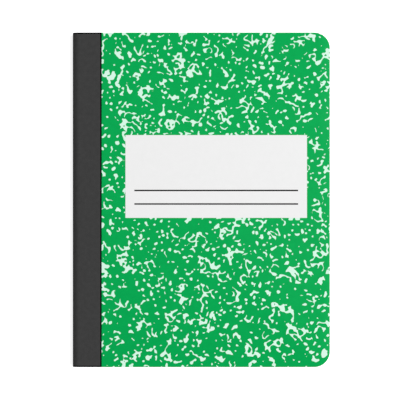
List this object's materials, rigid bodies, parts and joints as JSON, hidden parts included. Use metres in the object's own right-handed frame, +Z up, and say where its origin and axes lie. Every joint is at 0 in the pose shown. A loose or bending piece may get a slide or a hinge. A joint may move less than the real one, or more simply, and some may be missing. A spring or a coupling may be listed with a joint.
{
  "type": "composition notebook",
  "caption": "Sewn school notebook with marbled board covers that open, a black taped spine, a blank title panel and round fore-edge corners",
  "frame": {"origin": "middle of the footprint, on the surface that the closed notebook lies on", "axes": "+Z up through the thickness, from the back cover to the front cover; +Y towards the head; +X from the spine towards the fore edge"},
  "size_m": [0.1905, 0.2476, 0.0097],
  "materials": {
    "page_paper": "matte",
    "sewing_thread": "matte",
    "printed_board": "satin",
    "binding_tape": "matte",
    "light_print": "matte",
    "dark_print": "matte"
  },
  "bodies": {
    "text_block": {"page_block": "page_paper", "binding_thread": "sewing_thread", "cover_spine": "printed_board", "spine_tape": "binding_tape"},
    "front_cover": {"front_cover": "printed_board", "front_tape_strip": "binding_tape", "title_panel": "light_print", "title_rules": "dark_print", "front_marbling": "light_print"},
    "back_cover": {"back_cover": "printed_board", "back_tape_strip": "binding_tape", "back_marbling": "light_print"}
  },
  "joints": [
    {"name": "front_cover_hinge", "type": "hinge", "parent": "text_block", "child": "front_cover", "pos_m": [-0.0894, 0, 0.00985], "axis": [0, -1, 0], "range_deg": [0, 180]},
    {"name": "back_cover_hinge", "type": "hinge", "parent": "text_block", "child": "back_cover", "pos_m": [-0.0894, 0, -0.00015], "axis": [0, 1, 0], "range_deg": [0, 180]}
  ]
}
